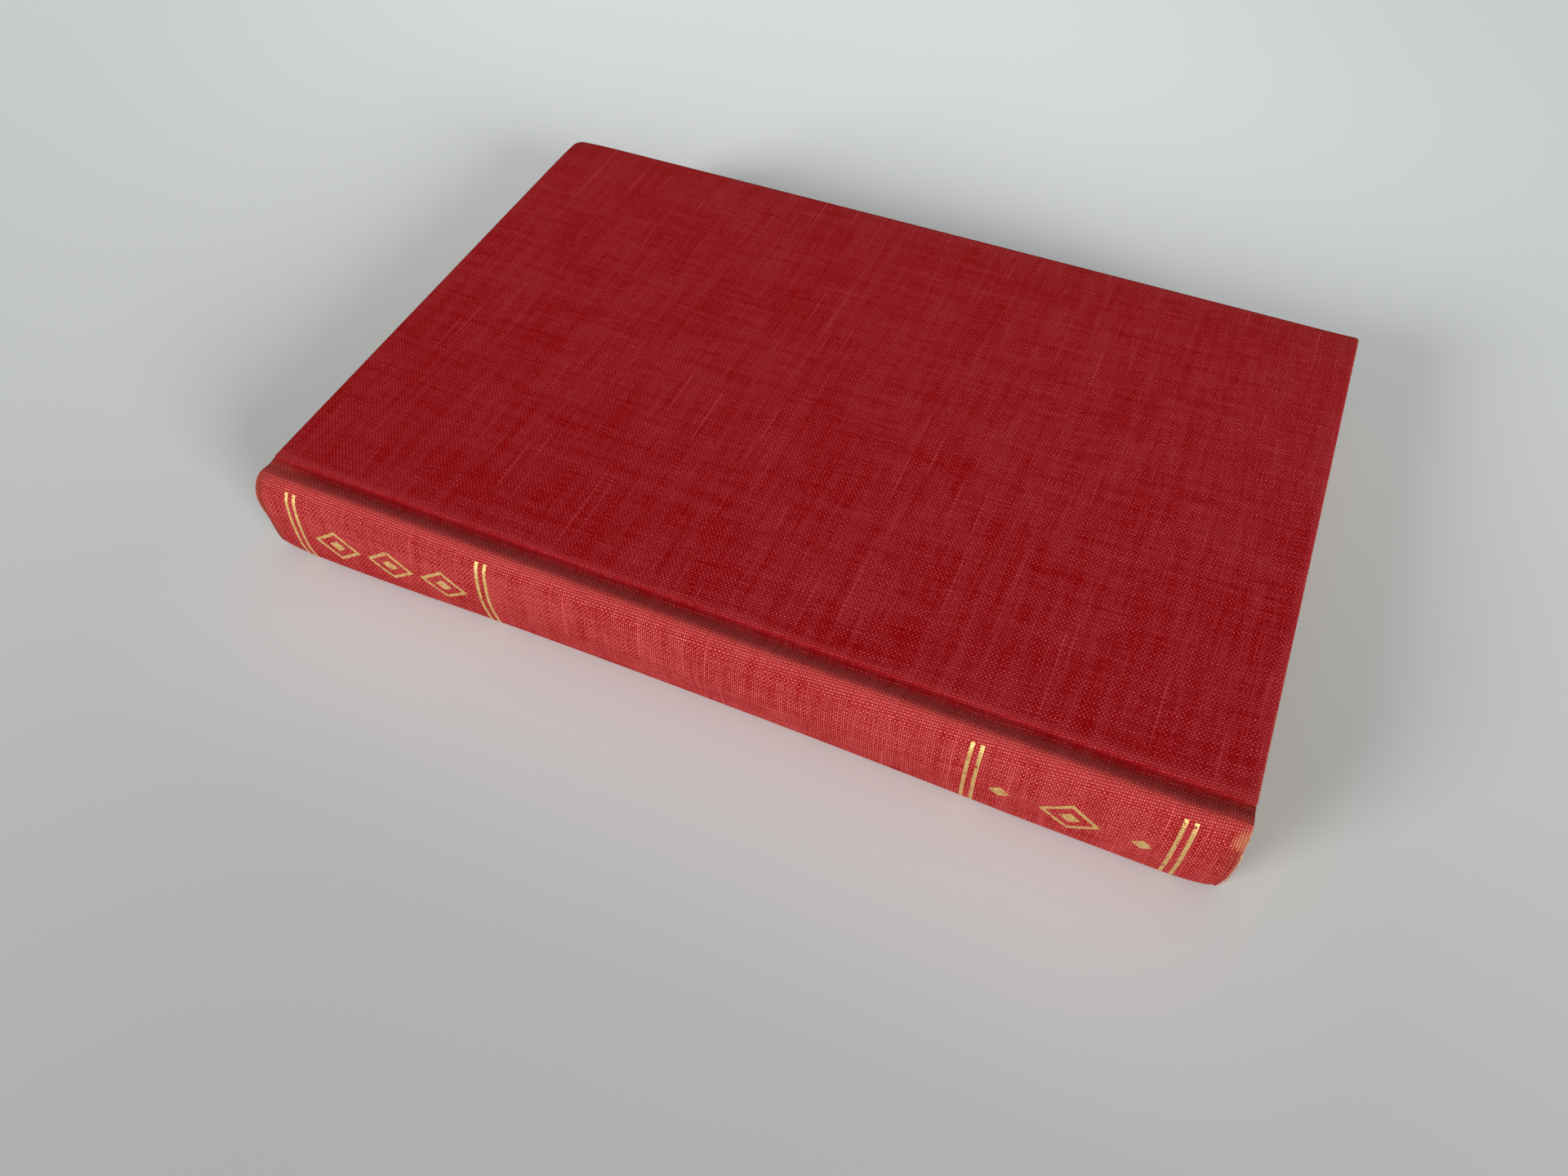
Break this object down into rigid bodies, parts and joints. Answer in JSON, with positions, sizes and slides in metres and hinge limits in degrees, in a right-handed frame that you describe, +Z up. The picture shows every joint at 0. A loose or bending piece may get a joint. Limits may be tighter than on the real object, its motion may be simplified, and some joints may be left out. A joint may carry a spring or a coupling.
{
  "type": "hardback book",
  "caption": "Closed cloth-covered hardback book with a rounded and backed text block, a hollow-backed spine, joint grooves and two hinged covers.",
  "frame": {"origin": "on the resting surface, under the middle of the closed book's bounding box", "axes": "+X from the spine to the fore edge, +Y from the tail to the head, +Z up through the front cover"},
  "size_m": [0.1322, 0.196, 0.0205],
  "materials": {
    "book_cloth": "plain-weave book cloth",
    "gilt": "blocked foil",
    "leaves": "uncoated, toned at the edges",
    "endpaper": "uncoated",
    "grey_board": "raw",
    "mull": "open cotton",
    "kraft": "raw"
  },
  "bodies": {
    "text_block": {"text_block": "leaves", "spine_mull": "mull", "spine_lining": "kraft", "spine_inlay": "grey_board", "spine_cloth": "book_cloth", "spine_gilt": "gilt", "front_endpaper": "endpaper", "back_endpaper": "endpaper"},
    "front_cover": {"front_board": "grey_board", "front_mull_flap": "mull", "front_cover_cloth": "book_cloth", "front_pastedown": "endpaper"},
    "back_cover": {"back_board": "grey_board", "back_mull_flap": "mull", "back_cover_cloth": "book_cloth", "back_pastedown": "endpaper"}
  },
  "joints": [
    {"name": "front_cover_hinge", "type": "hinge", "parent": "text_block", "child": "front_cover", "pos_m": [-0.06186, 0, 0.01893], "axis": [0, -1, 0], "range_deg": [0, 179]},
    {"name": "back_cover_hinge", "type": "hinge", "parent": "text_block", "child": "back_cover", "pos_m": [-0.06186, 0, 0.00158], "axis": [0, 1, 0], "range_deg": [0, 179]}
  ]
}
